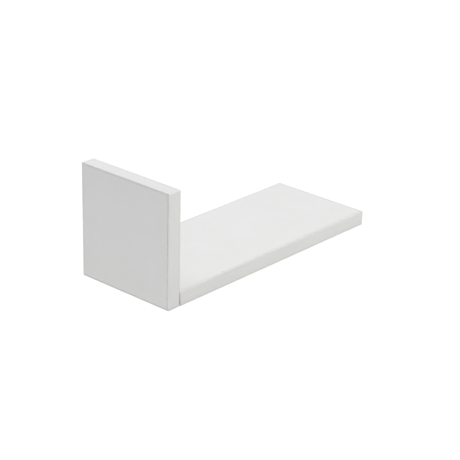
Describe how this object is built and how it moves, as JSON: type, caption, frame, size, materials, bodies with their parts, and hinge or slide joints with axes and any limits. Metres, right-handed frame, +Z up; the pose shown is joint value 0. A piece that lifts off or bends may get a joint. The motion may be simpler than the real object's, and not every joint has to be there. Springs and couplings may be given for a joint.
{
  "type": "floating wall shelf",
  "caption": "L-shaped floating wall shelf: a shelf board and an upright end panel in white faced chipboard, hung on the rods of a hidden steel wall rail.",
  "frame": {"origin": "on the wall plane, midway between the rail's two screw holes, halfway through the shelf board", "axes": "+X along the shelf from the upright to the free end, +Y into the wall, +Z up"},
  "size_m": [0.35, 0.137, 0.14],
  "materials": {
    "melamine": "white melamine with a fine matt grain",
    "edging": "white plastic edge strip, satin",
    "chipboard": "raw chipboard",
    "beech": "fluted beech",
    "zinc": "die-cast zinc",
    "plated_steel": "bright zinc-plated steel"
  },
  "bodies": {
    "bracket": {"wall_rail": "plated_steel", "left_rod": "plated_steel", "right_rod": "plated_steel"},
    "shelf": {"shelf_core": "chipboard", "shelf_top_facing": "melamine", "shelf_bottom_facing": "melamine", "shelf_front_edging": "edging", "shelf_back_edging": "edging", "shelf_end_edging": "edging", "upright_core": "chipboard", "upright_outer_facing": "melamine", "upright_inner_facing": "melamine", "upright_front_edging": "edging", "upright_back_edging": "edging", "upright_top_edging": "edging", "upright_bottom_edging": "edging", "front_dowel": "beech", "rear_dowel": "beech", "front_cam_bolt": "plated_steel", "rear_cam_bolt": "plated_steel"},
    "front_cam": {"front_cam": "zinc"},
    "rear_cam": {"rear_cam": "zinc"}
  },
  "joints": [
    {"name": "shelf_slide", "type": "slide", "parent": "bracket", "child": "shelf", "axis": [0, -1, 0], "range_m": [0, 0.105]},
    {"name": "front_cam_turn", "type": "hinge", "parent": "shelf", "child": "front_cam", "pos_m": [-0.142, -0.1005, 0], "axis": [0, 0, -1], "range_deg": [0, 180]},
    {"name": "rear_cam_turn", "type": "hinge", "parent": "shelf", "child": "rear_cam", "pos_m": [-0.142, -0.0365, 0], "axis": [0, 0, -1], "range_deg": [0, 180]}
  ]
}
